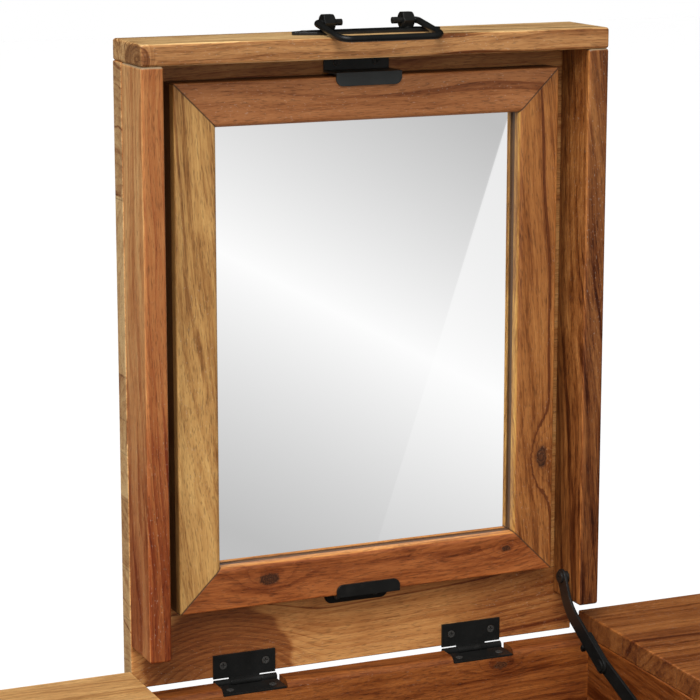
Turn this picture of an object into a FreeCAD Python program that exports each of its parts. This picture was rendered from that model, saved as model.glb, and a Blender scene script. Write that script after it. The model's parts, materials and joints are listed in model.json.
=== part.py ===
import FreeCAD, Part
import math
import os
import Sketcher
from FreeCAD import Placement, Rotation, Vector

# Vanity table in solid acacia, millimetres, +Z up, the sitter in front at -Y.
# The origin is at the middle of the whole object's footprint, on the floor.
# The middle of the table is a compartment under a box-like lid, which stands open.
# The lid carries a framed mirror inside. A drawer lies on each side of the compartment.

SIZES = {
    # whole table
    "table_width": 1100,
    "table_depth": 490,
    "table_height": 760,
    "board": 18,              # thickness of tops, walls and aprons
    "case_tall": 160,         # from the table's upper face to the lower edge of the aprons
    "eased": 1.2,             # radius along every sawn edge
    "leg_wide": 45,
    "foot_wide": 32,
    # lid: a panel with a front rail and two side rails
    "lid_wide": 376,
    "lid_gap": 3,             # to the fixed top on each side
    "lid_deep": 63,
    "front_rail": 16,
    "side_rail": 17,
    "side_rail_stop": 33.5,   # from the panel's rear edge to the side rails' ends
    "rail_round": 2.2,
    # butt hinges
    "leaf_long": 51,
    "leaf_wide": 22,          # from the pin's axis
    "leaf_thick": 1.6,
    "leaf_back": 3,           # from the pin's axis to the face that lies on the wood
    "pin_behind": 4,          # from the table's rear face to the pin's axis
    "knuckle": 2.8,
    "hinge_pin": 1.3,
    "middle_knuckle": 25,
    "knuckle_relief": 0.5,    # between the knuckles and the plate's edge
    "leaf_screw_end": 8,      # from the leaf's ends
    "leaf_screw_edge": 8.5,   # from its free edge
    "pin_past": 0.5,          # of each end past the leaf
    "knuckle_gap": 0.3,
    "hinge_apart": 194,
    "rail_play": 0.5,         # between the closed lid and the rear rail
    "rail_inner_round": 6,
    # mirror
    "mirror_wide": 313,
    "mirror_tall": 398,
    "mirror_low": 61,         # from the panel's rear edge to the frame
    "frame_wide": 33,
    "frame_thick": 23.5,
    "frame_round": 4,
    "glass_thick": 4,
    "glass_sunk": 12,
    "rabbet": 7,
    "backing": 3,
    # clips that hold the mirror
    "clip_wide": 53,
    "clip_plate": 13,
    "clip_tab": 10,
    "clip_thick": 1.6,
    "clip_play": 1.5,
    "clip_hook_play": 0.3,    # between the frame's face and the tab
    "clip_screw_in": 10.5,    # from the plate's ends
    "clip_aside": -3,         # the clips sit a little left of the middle
    # folding stay
    "arm_wide": 13,
    "arm_thick": 2,
    "arm_gap": 0.4,
    "arm_off_rail": 5.5,      # from the side rail's inner face to the upper arm
    "arm_bend": 40,           # radius of the upper arm's bend
    "knee_pin": 3,
    "pin_play": 0.05,
    "pin_head": 1.8,          # how much wider than the pin its head is
    "tail_long": 27,          # of the lower arm, past the knee
    "hook_half": 2.6,
    "hook_start": 2,          # below the tail's middle line
    "hook_reach": 7,          # below the tail's edge
    "hook_lean": 4,           # along the tail, over its reach
    "lip_round": 1.6,
    "lip_into": 0.4,          # how far the lip runs into the tail
    "rivet_head": 1.4,
    "rivet_tail": 1,
    "pivot_head": 1.8,
    "pivot_slot": 4.2,
    "pivot_slot_wide": 1,
    "head_play": 0.1,
    "bracket_long": 46,
    "bracket_tall": 18,
    "bracket_thick": 2.5,
    "bracket_screw": 16,      # from the stud, each way
    "bracket_round": 4,
    "cap_thick": 1.4,
    "cap_play": 0.3,          # between the lower arm and the stud's cap
    "bracket_screw_sunk": 0.9,
    # bail pulls
    "plate_long": 120,
    "plate_wide": 18,
    "plate_thick": 2.5,
    "plate_neck": 12,         # from a post out to where the plate starts to narrow
    "plate_tip": 4,           # half the plate's width at its ends
    "plate_screw": 18,        # from a post out to the screw
    "plate_round": 0.8,
    "post_apart": 64,
    "post_flats": 12,
    "post_wide": 9,
    "pivot_tall": 8.3,
    "rod": 2.5,
    "rod_play": 0.08,
    "bail_wide": 82,
    "bail_long": 48,
    "bail_tail": 7,           # of the rod's ends, past the posts
    "bail_bend": 4,           # at the posts
    "bail_corner": 9,
    # wood screws
    "screw_head": 3,
    "screw_shank": 1.5,
    "screw_long": 12,
    "screw_taper": 1.2,       # how much narrower the head is below
    "screw_dome": 0.4,
    "screw_play": 0.15,
    "cross_long": 3.4,
    "cross_wide": 0.8,
    "cross_deep": 0.9,
    # compartment
    "compartment_deep": 146,
    "front_recess": 4,        # of the board under the lid's front rail, clear of the lid's pull
    "floor_thick": 12,
    "lid_rest_gap": 0.5,      # between the closed lid's front rail and the board below it
    # drawers
    "drawer_gap": 2,
    "drawer_play": 3,         # beside the drawer
    "drawer_lift": 0.5,       # above the runners
    "drawer_side": 12,
    "drawer_tall": 90,
    "drawer_deep": 400,
    "drawer_base": 6,
    "drawer_base_up": 4,
    "pull_high": 70,          # from the drawer rail up to the pull
    "runner": 16,
    "front_rail_tall": 20,
}

doc = FreeCAD.newDocument("vanity_table")
sheet = doc.addObject("Spreadsheet::Sheet", "Sizes")
for row, (alias, value) in enumerate(SIZES.items(), start=1):
    sheet.set("A%d" % row, alias)
    sheet.set("B%d" % row, str(value))
    sheet.setAlias("B%d" % row, alias)
doc.recompute()

nodes = []                    # every document object that becomes a sub-part


def cell(alias):
    """The number in the sheet's cell of that name."""
    return float(sheet.get(alias))


def formula(text):
    """An expression for setExpression, from one written with bare cell names."""
    words = text.replace("(", " ( ").replace(")", " ) ").split()
    return " ".join("Sizes." + word if word in SIZES else word for word in words)


# ---------------------------------------------------------------- places worked out from the sizes

BOARD = cell("board")
TOP = cell("table_height")
UNDER = TOP - BOARD                                     # lower face of the fixed tops
CASE = TOP - cell("case_tall")                          # lower edge of the aprons
HALF = cell("table_width") / 2
LEG = cell("leg_wide")
PULL_PROUD = cell("pivot_tall") + cell("post_flats") / 2
LID_BEHIND = cell("pin_behind") + cell("leaf_back") + BOARD
FRONT = -(cell("table_depth") + LID_BEHIND + PULL_PROUD) / 2 + PULL_PROUD
BACK = FRONT + cell("table_depth")
WALL = cell("lid_wide") / 2 + cell("lid_gap")           # inner face of the compartment's walls
SIDE_BAY = WALL + BOARD                                 # inner side of each drawer bay
LEG_IN = HALF - LEG                                     # outer side of each drawer bay

# The open lid: the panel's rear face, inner face, lower edge and upper edge.
PIN_Y = BACK + cell("pin_behind")
PIN_Z = UNDER - cell("leaf_back")
LID_REAR = BACK + LID_BEHIND
LID_FACE = LID_REAR - BOARD
LID_FRONT = LID_REAR - cell("lid_deep")
LID_LOW = PIN_Z + cell("pin_behind")
LID_HIGH = LID_LOW + cell("table_depth")
RAIL_LOW = LID_HIGH - cell("front_rail")
LID_HALF = cell("lid_wide") / 2
RAIL_IN = LID_HALF - cell("side_rail")

MIRROR_LOW = LID_LOW + cell("mirror_low")
MIRROR_HIGH = MIRROR_LOW + cell("mirror_tall")
MIRROR_FRONT = LID_FACE - cell("frame_thick")
CLIP_LEFT = cell("clip_aside") - cell("clip_wide") / 2


# ---------------------------------------------------------------- helpers

def keep(item, label, place=None):
    """Make a document object a sub-part, named by its label."""
    item.Label = label
    if place is not None:
        item.Placement = place
    nodes.append(item)
    return item


def new_body(label, place=None):
    body = doc.addObject("PartDesign::Body", label)
    return keep(body, label, place)


def new_sketch(body, role):
    sketch = body.newObject("Sketcher::SketchObject", body.Name + "_sketch")
    plane = [item for item in body.Origin.OriginFeatures if item.Role == role][0]
    sketch.AttachmentSupport = [(plane, "")]
    sketch.MapMode = "FlatFace"
    return sketch


def draw_loop(sketch, points):
    """A closed outline of straight lines; returns the index of its first line."""
    first = sketch.GeometryCount
    count = len(points)
    for i in range(count):
        start = Vector(points[i][0], points[i][1], 0)
        end = Vector(points[(i + 1) % count][0], points[(i + 1) % count][1], 0)
        sketch.addGeometry(Part.LineSegment(start, end), False)
    for i in range(count):
        sketch.addConstraint(Sketcher.Constraint("Coincident", first + i, 2, first + (i + 1) % count, 1))
    return first


def hold(sketch, kind, line, end_a, end_b, text, value):
    """A horizontal or vertical distance between two ends of a line, bound to a formula."""
    index = sketch.addConstraint(Sketcher.Constraint(kind, line, end_a, line, end_b, value))
    sketch.setExpression("Constraints[%d]" % index, formula(text))


def rectangle(sketch, wide, deep, corner=(0, 0)):
    """A rectangle from a corner, its two sides bound to formulas."""
    x, y = corner
    first = draw_loop(sketch, [(x, y), (x + 10, y), (x + 10, y + 10), (x, y + 10)])
    for line, kind in enumerate(("Horizontal", "Vertical", "Horizontal", "Vertical")):
        sketch.addConstraint(Sketcher.Constraint(kind, first + line))
    if corner == (0, 0):
        sketch.addConstraint(Sketcher.Constraint("Coincident", first, 1, -1, 1))
    hold(sketch, "DistanceX", first, 1, 2, wide, 10)
    hold(sketch, "DistanceY", first + 1, 1, 2, deep, 10)


def pad(body, sketch, length, reverse=False):
    feature = body.newObject("PartDesign::Pad", body.Name + "_pad")
    feature.Profile = sketch
    feature.Reversed = reverse
    feature.setExpression("Length", formula(length))
    doc.recompute()
    return feature


def round_edges(body, base, radius, wanted=None):
    """Round the edges of a feature that pass the test, or all of them."""
    names = []
    for index, edge in enumerate(base.Shape.Edges, start=1):
        if wanted is None or wanted(edge):
            names.append("Edge%d" % index)
    feature = body.newObject("PartDesign::Fillet", body.Name + "_round")
    feature.Base = (base, names)
    feature.setExpression("Radius", formula(radius))
    doc.recompute()
    return feature


def board(label, wide, deep, tall, corner, radius="eased"):
    """A sawn board with eased edges, its lowest corner at a place."""
    body = new_body(label, Placement(Vector(*corner), Rotation()))
    sketch = new_sketch(body, "XY_Plane")
    rectangle(sketch, wide, deep)
    base = pad(body, sketch, tall)
    round_edges(body, base, radius)
    return body


def bound(kind, **texts):
    """A Part primitive with its sizes bound to formulas."""
    item = doc.addObject("Part::" + kind, kind)
    for prop, text in texts.items():
        item.setExpression(prop, formula(text))
    return item


def at(item, x, y, z, turn=None):
    item.Placement = Placement(Vector(x, y, z), turn or Rotation())
    return item


def joined(*items):
    item = doc.addObject("Part::MultiFuse", "Fuse")
    item.Shapes = list(items)
    return item


def without(base, tool):
    item = doc.addObject("Part::Cut", "Cut")
    item.Base = base
    item.Tool = tool
    return item


def solids(label, shapes):
    """A sub-part from shapes that are already in place, each a solid of its own."""
    item = doc.addObject("Part::Feature", label)
    item.Shape = shapes[0] if len(shapes) == 1 else Part.makeCompound(shapes)
    return keep(item, label)


def moved(shape, place):
    copy = shape.copy()
    copy.Placement = place.multiply(copy.Placement)
    return copy


ALONG = Vector(1, 0, 0)
ALONG_X = Rotation(Vector(0, 1, 0), 90)                 # turns +Z to +X
FACE_FRONT = Rotation(Vector(1, 0, 0), 90)              # turns +Z to -Y
SIDES = (("left", -1), ("right", 1))


def low_x(side, near, far):
    """The lower x of a piece that lies between two distances from the middle."""
    return near if side > 0 else -far


# ---------------------------------------------------------------- table

def fixed_top(name, side):
    x = low_x(side, WALL, HALF)
    board("fixed_top_" + name, "table_width / 2 - lid_wide / 2 - lid_gap", "table_depth", "board",
          (x, FRONT, UNDER))


def leg(label, x, y, turn):
    """A leg, straight beside the aprons and tapering below on its two inner faces."""
    body = new_body(label, Placement(Vector(x, y, CASE), Rotation(Vector(0, 0, 1), turn)))
    upper = new_sketch(body, "XY_Plane")
    rectangle(upper, "leg_wide", "leg_wide")
    pad(body, upper, "case_tall - board")
    start = new_sketch(body, "XY_Plane")
    rectangle(start, "leg_wide", "leg_wide")
    foot = new_sketch(body, "XY_Plane")
    rectangle(foot, "foot_wide", "foot_wide")
    foot.setExpression("AttachmentOffset.Base.z", formula("case_tall - table_height"))
    doc.recompute()
    taper = body.newObject("PartDesign::AdditiveLoft", body.Name + "_taper")
    taper.Profile = start
    taper.Sections = [foot]
    taper.Ruled = True
    doc.recompute()
    corner = cell("leg_wide") / 2

    def upright(edge):
        return edge.BoundBox.ZLength > corner
    round_edges(body, taper, "eased * 2", upright)


def case_side(name, side):
    """The apron boards, compartment wall and drawer parts of one side of the table."""
    x = low_x(side, HALF - BOARD, HALF)
    board("side_apron_" + name, "board", "table_depth - 2 * leg_wide", "case_tall - board",
          (x, FRONT + LEG, CASE))
    x = low_x(side, SIDE_BAY, LEG_IN)
    bay = "table_width / 2 - leg_wide - lid_wide / 2 - lid_gap - board"
    board("back_apron_" + name, bay, "board", "case_tall - board", (x, BACK - BOARD, CASE))
    board("drawer_rail_" + name, bay, "board", "front_rail_tall", (x, FRONT, CASE))
    x = low_x(side, WALL, SIDE_BAY)
    board("compartment_wall_" + name, "board", "table_depth", "case_tall - board", (x, FRONT, CASE))


def runners():
    """Two strips under each drawer, one on the compartment wall and one on the side apron."""
    z = CASE + cell("front_rail_tall")
    long = cell("table_depth") - 2 * LEG
    inner = 2 * (cell("drawer_side") + cell("drawer_play"))
    outer = LEG - BOARD + inner
    shapes = []
    for name, side in SIDES:
        for near, width in ((SIDE_BAY, inner), (HALF - BOARD - outer, outer)):
            x = low_x(side, near, near + width)
            strip = Part.makeBox(width, long, cell("runner"), Vector(x, FRONT + LEG, z))
            shapes.append(strip.makeChamfer(cell("eased"), strip.Edges))
    solids("drawer_runners", shapes)


def compartment():
    """The floor, front board and notched rear rail of the compartment."""
    inside = "lid_wide + 2 * lid_gap"
    floor_z = TOP - cell("compartment_deep") - cell("floor_thick")
    front = FRONT + cell("front_recess")
    board("compartment_floor", inside, "table_depth - 2 * board - front_recess", "floor_thick",
          (-WALL, front + BOARD, floor_z))
    board("compartment_front", inside, "board", "case_tall - lid_deep - lid_rest_gap",
          (-WALL, front, CASE))

    # The rear rail stops just under the closed lid, with a rounded inner upper edge
    # and two through notches for the hinges.
    body = new_body("compartment_rear_rail", Placement(Vector(-WALL, BACK - BOARD, CASE), Rotation()))
    sketch = new_sketch(body, "XY_Plane")
    rectangle(sketch, inside, "board")
    base = pad(body, sketch, "case_tall - board - rail_play")

    def inner_top(edge):
        box = edge.BoundBox
        return box.ZMin > 100 and box.YMax < 0.1 and box.XLength > 100
    rounded = round_edges(body, base, "rail_inner_round", inner_top)
    before = rounded.Shape.Volume
    notch_floor = PIN_Z - cell("leaf_back") - CASE
    cutter = new_sketch(body, "XZ_Plane")
    for side in (-1, 1):
        start = WALL + side * cell("hinge_apart") / 2 - cell("leaf_long") / 2 - 1
        rectangle_at(cutter, start, notch_floor, cell("leaf_long") + 2, BOARD)
    notch = body.newObject("PartDesign::Pocket", body.Name + "_notch")
    notch.Profile = cutter
    notch.Type = 1
    notch.Midplane = True
    doc.recompute()
    if notch.Shape.Volume > before - 1000:
        raise RuntimeError("the hinge notches cut nothing")


def rectangle_at(sketch, x, y, wide, tall):
    """A plain rectangle in a sketch, from its lower left corner."""
    draw_loop(sketch, [(x, y), (x + wide, y), (x + wide, y + tall), (x, y + tall)])


# ---------------------------------------------------------------- lid

def lid():
    """The lid as it stands open: panel, front rail across its end, two side rails."""
    board("lid_panel", "lid_wide", "board", "table_depth - front_rail", (-LID_HALF, LID_FACE, LID_LOW))
    board("lid_front_rail", "lid_wide", "lid_deep", "front_rail", (-LID_HALF, LID_FRONT, RAIL_LOW),
          "rail_round")
    for name, side in SIDES:
        x = low_x(side, RAIL_IN, LID_HALF)
        board("lid_side_rail_" + name, "side_rail", "lid_deep - board",
              "table_depth - front_rail - side_rail_stop",
              (x, LID_FRONT, LID_LOW + cell("side_rail_stop")), "rail_round")


def frame_stick(label, length, x, z, turn):
    """One mitred stick of the mirror frame, rounded at the sight edge, rabbeted behind."""
    wide = cell("frame_wide")
    thick = cell("frame_thick")
    span = cell(length)
    place = Placement(Vector(x, MIRROR_FRONT + thick, z), Rotation())
    place = place.multiply(Placement(Vector(), Rotation(Vector(0, 1, 0), turn)))
    place = place.multiply(Placement(Vector(), FACE_FRONT))
    body = new_body(label, place)
    sketch = new_sketch(body, "XY_Plane")
    first = draw_loop(sketch, [(0, 0), (span, 0), (span - wide, wide), (wide, wide)])
    hold_mitre(sketch, first, length)
    base = pad(body, sketch, "frame_thick")

    def sight(edge):
        box = edge.BoundBox
        return box.YMin > wide - 0.1 and box.ZMin > thick - 0.1
    shaped = round_edges(body, base, "frame_round", sight)

    def outer(edge):
        box = edge.BoundBox
        return box.YMax < 0.1 and box.ZMin > thick - 0.1
    shaped = round_edges(body, shaped, "eased", outer)
    before = shaped.Shape.Volume
    slot = new_sketch(body, "XY_Plane")
    rectangle_at(slot, wide - cell("rabbet"), wide - cell("rabbet"), span - 2 * wide + 2 * cell("rabbet"),
                 cell("rabbet") + 1)
    rabbet = body.newObject("PartDesign::Pocket", body.Name + "_rabbet")
    rabbet.Profile = slot
    rabbet.Reversed = True
    rabbet.setExpression("Length", formula("frame_thick - glass_sunk"))
    doc.recompute()
    if rabbet.Shape.Volume > before - 1000:
        raise RuntimeError("the rabbet cut nothing")


def hold_mitre(sketch, first, length):
    sketch.addConstraint(Sketcher.Constraint("Horizontal", first))
    sketch.addConstraint(Sketcher.Constraint("Horizontal", first + 2))
    sketch.addConstraint(Sketcher.Constraint("Coincident", first, 1, -1, 1))
    hold(sketch, "DistanceX", first, 1, 2, length, cell(length))
    wide = cell("frame_wide")
    hold(sketch, "DistanceY", first + 1, 1, 2, "frame_wide", wide)
    hold(sketch, "DistanceX", first + 1, 2, 1, "frame_wide", wide)
    hold(sketch, "DistanceX", first + 3, 2, 1, "frame_wide", wide)


def mirror():
    """The mitred frame, the glass in its rabbet and the board behind the glass."""
    half = cell("mirror_wide") / 2
    frame_stick("mirror_frame_bottom", "mirror_wide", -half, MIRROR_LOW, 0)
    frame_stick("mirror_frame_right", "mirror_tall", half, MIRROR_LOW, -90)
    frame_stick("mirror_frame_top", "mirror_wide", half, MIRROR_HIGH, 180)
    frame_stick("mirror_frame_left", "mirror_tall", -half, MIRROR_HIGH, 90)
    inset = cell("frame_wide") - cell("rabbet") + 1
    wide = "mirror_wide - 2 * frame_wide + 2 * rabbet - 2"
    tall = "mirror_tall - 2 * frame_wide + 2 * rabbet - 2"
    y = MIRROR_FRONT + cell("glass_sunk")
    board("mirror_glass", wide, "glass_thick", tall, (-half + inset, y, MIRROR_LOW + inset), "eased / 2")
    y = y + cell("glass_thick")
    board("mirror_backing", wide, "backing", tall, (-half + inset, y, MIRROR_LOW + inset), "eased / 4")


def clip(label, ledge_z, up):
    """A bent steel clip: plate on the panel, ledge along the frame, tab over its face."""
    thick = cell("clip_thick")
    reach = cell("frame_thick") + cell("clip_hook_play") + thick
    body = new_body(label, Placement(Vector(CLIP_LEFT, LID_FACE, ledge_z), Rotation()))
    sketch = new_sketch(body, "YZ_Plane")
    outline = [(0, 0), (0, cell("clip_plate")), (-thick, cell("clip_plate")), (-thick, thick),
               (-reach, thick), (-reach, thick - cell("clip_tab")),
               (thick - reach, thick - cell("clip_tab")), (thick - reach, 0)]
    draw_loop(sketch, [(y, up * z) for y, z in outline])
    base = pad(body, sketch, "clip_wide")

    def far_corner(edge):
        """The free corners of the plate and of the tab: short edges along Y."""
        box = edge.BoundBox
        z = edge.CenterOfMass.z * up
        across = box.XLength < 0.1 and box.ZLength < 0.1 and box.YLength < thick + 0.1
        return across and (z < 0 or z > cell("clip_plate") - 0.1)
    round_edges(body, base, "clip_plate / 2 - 1", far_corner)
    return body


def with_screw_holes(body, centres, depth):
    """Pocket round holes through a plate that stands across Y."""
    before = body.Shape.Volume
    sketch = new_sketch(body, "XZ_Plane")
    for x, z in centres:
        circle = Part.Circle(Vector(x, z, 0), Vector(0, 0, 1), cell("screw_head") + 0.15)
        sketch.addGeometry(circle, False)
    hole = body.newObject("PartDesign::Pocket", body.Name + "_holes")
    hole.Profile = sketch
    hole.Midplane = True
    hole.setExpression("Length", formula(depth))
    doc.recompute()
    if hole.Shape.Volume > before - 5:
        raise RuntimeError("the screw holes of %s cut nothing" % body.Label)


def mirror_clips():
    screw_x = (cell("clip_screw_in"), cell("clip_wide") - cell("clip_screw_in"))
    height = cell("clip_plate") / 2 + cell("clip_thick") / 2
    top = clip("mirror_clip_top", MIRROR_HIGH + cell("clip_play"), 1)
    with_screw_holes(top, [(x, height) for x in screw_x], "clip_thick * 3")
    low = clip("mirror_clip_bottom", MIRROR_LOW, -1)
    with_screw_holes(low, [(x, -height) for x in screw_x], "clip_thick * 3")
    places = []
    for z in (MIRROR_HIGH + cell("clip_play") + height, MIRROR_LOW - height):
        places += [(x + CLIP_LEFT, z) for x in screw_x]
    return places


# ---------------------------------------------------------------- hinges

def leaf_screw_spots():
    """Screw centres on a leaf: along the pin from its middle, and out from the pin."""
    along = cell("leaf_long") / 2 - cell("leaf_screw_end")
    out = cell("leaf_wide") - cell("leaf_screw_edge")
    return [(side * along, out) for side in (-1, 1)]


def leaf(knuckle_spans, tongue_spans):
    """A hinge leaf beside the pin along X: plate standing in +Z, its back face at +leaf_back in Y."""
    long = cell("leaf_long")
    free = cell("knuckle") + cell("knuckle_relief")
    plate = at(bound("Box", Length="leaf_long", Width="leaf_thick",
                     Height="leaf_wide - knuckle - knuckle_relief"),
               -long / 2, cell("leaf_back") - cell("leaf_thick"), free)
    pieces = [plate]
    for start, end in tongue_spans:
        tongue = at(bound("Box", Width="leaf_thick", Height="knuckle + 2 * knuckle_relief"),
                    start, cell("leaf_back") - cell("leaf_thick"), 0)
        tongue.Length = end - start
        pieces.append(tongue)
    for start, end in knuckle_spans:
        barrel = at(bound("Cylinder", Radius="knuckle"), start, 0, 0, ALONG_X)
        barrel.Height = end - start
        pieces.append(barrel)
    bore = at(bound("Cylinder", Radius="hinge_pin + pin_play", Height="leaf_long + 2"),
              -long / 2 - 1, 0, 0, ALONG_X)
    holes = []
    for x, z in leaf_screw_spots():
        hole = at(bound("Cylinder", Radius="screw_head + screw_play", Height="leaf_thick * 4"),
                  x, 2 * cell("leaf_thick") + cell("leaf_back"), z, FACE_FRONT)
        holes.append(hole)
    cut = without(joined(*pieces), joined(bore, *holes))
    doc.recompute()
    return cut.Shape


def hinges():
    """Both butt hinges: the middle knuckle is the lid leaf's, the outer two are the table leaf's."""
    half = cell("leaf_long") / 2
    middle = cell("middle_knuckle") / 2
    gap = cell("knuckle_gap")
    lid_leaf = leaf([(-middle, middle)], [(-middle, middle)])
    outer = [(-half, -middle - gap), (middle + gap, half)]
    table_leaf = leaf(outer, outer)
    # The table leaf lies flat, its back face down on the notch floor, reaching forward.
    flat = Rotation(Vector(1, 0, 0), 90).multiply(Rotation(Vector(0, 0, 1), 180))
    centres = [Vector(side * cell("hinge_apart") / 2, PIN_Y, PIN_Z) for side in (-1, 1)]
    solids("hinge_leaves_lid", [moved(lid_leaf, Placement(spot, Rotation())) for spot in centres])
    solids("hinge_leaves_table", [moved(table_leaf, Placement(spot, flat)) for spot in centres])
    past = cell("pin_past")
    pin = Part.makeCylinder(cell("hinge_pin"), 2 * (half + past), Vector(-half - past, 0, 0), ALONG)
    solids("hinge_pins", [moved(pin, Placement(spot, Rotation())) for spot in centres])


# ---------------------------------------------------------------- screws

def screw_shape():
    """A countersunk wood screw along Z: head's face at z = 0, shank below, cross recess."""
    radius = cell("screw_head")
    tall = cell("leaf_thick")
    head = Part.makeCone(radius - cell("screw_taper"), radius, tall, Vector(0, 0, -tall))
    dome = Part.makeCylinder(radius, cell("screw_dome"))
    shank = Part.makeCylinder(cell("screw_shank"), cell("screw_long"), Vector(0, 0, -cell("screw_long")))
    solid = head.fuse([dome, shank]).removeSplitter()
    long = cell("cross_long")
    wide = cell("cross_wide")
    deep = cell("cross_deep")
    for x, y in ((long, wide), (wide, long)):
        slot = Part.makeBox(x, y, deep + 2 * cell("screw_dome"), Vector(-x / 2, -y / 2, -deep))
        solid = solid.cut(slot)
    return solid


def screws(label, spots):
    """A set of equal wood screws, each given by the middle of its head and a turn."""
    master = screw_shape()
    solids(label, [moved(master, Placement(Vector(*spot), turn)) for spot, turn in spots])


# ---------------------------------------------------------------- folding stay

# Pivots of the stay, from the hinge pin's axis: forward, and up.
STAY_TOP = (21, 56.4)
STAY_BEND = (33, 33)
STAY_KNEE = (87, 3)
STAY_FOOT = (249, -57)


def stay_point(forward, up):
    return Vector(0, PIN_Y - forward, PIN_Z + up)


TOP_PIVOT = stay_point(*STAY_TOP)
UPPER_BEND = stay_point(*STAY_BEND)
KNEE = stay_point(*STAY_KNEE)
FOOT = stay_point(*STAY_FOOT)
UPPER_X = RAIL_IN - cell("arm_off_rail")                # left face of the upper arm
LOWER_X = UPPER_X + cell("arm_thick") + cell("arm_gap")


def flat_bar(corners, bend, x):
    """A flat bar with round ends and one bend, lying across X from x."""
    start, corner, end = corners
    to_start = (start - corner).normalize()
    to_end = (end - corner).normalize()
    half_turn = (math.pi - to_start.getAngle(to_end)) / 2
    inset = bend * math.tan(half_turn)
    a = corner + to_start * inset
    b = corner + to_end * inset
    middle = corner + (to_start + to_end).normalize() * (bend / math.cos(half_turn) - bend)
    edges = [Part.makeLine(start, a), Part.Arc(a, middle, b).toShape(), Part.makeLine(b, end)]
    half = cell("arm_wide") / 2
    thick = cell("arm_thick")
    strips = [Part.Face(strip_outline(edge, half)).extrude(ALONG * thick) for edge in edges]
    ends = [Part.makeCylinder(half, thick, spot, ALONG) for spot in (start, end)]
    bar = strips[0].fuse(strips[1:] + ends).removeSplitter()
    bar.translate(ALONG * x)
    return bar


def strip_outline(edge, half):
    """The closed outline of a strip of even width about a line or an arc in the YZ plane."""
    first, last = edge.FirstParameter, edge.LastParameter
    sides = []
    for sign in (1, -1):
        points = []
        for share in (0, 0.5, 1):
            spot = first + (last - first) * share
            tangent = edge.tangentAt(spot)
            across = Vector(0, -tangent.z, tangent.y)
            points.append(edge.valueAt(spot) + across * (half * sign))
        sides.append(points)
    near, far = sides
    if isinstance(edge.Curve, Part.Line):
        long_a = Part.makeLine(near[0], near[2])
        long_b = Part.makeLine(far[2], far[0])
    else:
        long_a = Part.Arc(*near).toShape()
        long_b = Part.Arc(*reversed(far)).toShape()
    return Part.Wire([long_a, Part.makeLine(near[2], far[2]), long_b, Part.makeLine(far[0], near[0])])


def stay():
    """The two-arm stay on the right, its knee below the rear rail while the lid stands open."""
    stay_upper_arm()
    stay_lower_arm()
    stay_rivets()
    return stay_wall_bracket()


def disc(radius, tall, spot, x):
    """A cylinder along +X from x, about a pivot of the stay."""
    return Part.makeCylinder(radius, tall, Vector(x, spot.y, spot.z), ALONG)


def with_pin_holes(arm, spots):
    for spot in spots:
        arm = arm.cut(disc(cell("knee_pin") + cell("pin_play"), WALL, spot, 0))
    return arm


def stay_upper_arm():
    """The short bent arm between the lid's side rail and the knee."""
    arm = flat_bar([TOP_PIVOT, UPPER_BEND, KNEE], cell("arm_bend"), UPPER_X)
    solids("stay_upper_arm", [with_pin_holes(arm, (TOP_PIVOT, KNEE))])


def stay_lower_arm():
    """The long arm, with a tail past the knee that carries the stop hook.

    The hook leaves the tail below the upper arm and its lip turns in under that arm's edge."""
    slope = (UPPER_BEND - KNEE).normalize()
    down = Vector(0, slope.z, -slope.y)
    half = cell("arm_wide") / 2
    tail = KNEE + slope * cell("tail_long")
    arm = flat_bar([tail, KNEE, FOOT], cell("arm_bend") * 1.5, LOWER_X)
    hook_end = tail + down * (half + cell("hook_reach")) + slope * cell("hook_lean")
    hook = flat_finger(tail + down * cell("hook_start"), hook_end, cell("hook_half"), LOWER_X)
    lip_round = cell("lip_round")
    lip_spot = tail + down * (half + cell("arm_gap") + lip_round + cell("head_play")) + slope
    lip_x = UPPER_X - cell("arm_gap")
    lip = disc(lip_round, LOWER_X + cell("lip_into") - lip_x, lip_spot, lip_x)
    arm = arm.fuse([hook, lip]).removeSplitter()
    solids("stay_lower_arm", [with_pin_holes(arm, (KNEE, FOOT))])


def stay_rivets():
    """The knee rivet and the upper pivot screw; both ride on the upper arm.

    The screw's collar stops just short of the side rail."""
    pin = cell("knee_pin")
    head = pin + cell("pin_head")
    thick = cell("arm_thick")
    play = cell("head_play")
    near_head = cell("rivet_head")
    far_x = LOWER_X + thick + play
    rivet = disc(pin, far_x - UPPER_X + cell("rivet_tail") / 2, KNEE, UPPER_X)
    rivet = rivet.fuse(disc(head, near_head, KNEE, UPPER_X - near_head))
    rivet = rivet.fuse(disc(head, cell("rivet_tail"), KNEE, far_x))
    collar_x = UPPER_X + thick + play
    top_head = cell("pivot_head")
    screw = disc(pin, RAIL_IN - UPPER_X - cell("arm_gap"), TOP_PIVOT, UPPER_X)
    screw = screw.fuse(disc(head, top_head, TOP_PIVOT, UPPER_X - top_head))
    screw = screw.fuse(disc(head, RAIL_IN - collar_x - cell("arm_gap"), TOP_PIVOT, collar_x))
    screw = screw.removeSplitter()
    long = cell("pivot_slot")
    narrow = cell("pivot_slot_wide")
    for wide, tall in ((long, narrow), (narrow, long)):
        corner = Vector(UPPER_X - top_head, TOP_PIVOT.y - wide / 2, TOP_PIVOT.z - tall / 2)
        screw = screw.cut(Part.makeBox(top_head / 2, wide, tall, corner))
    solids("stay_rivets", [rivet.removeSplitter(), screw])


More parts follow.
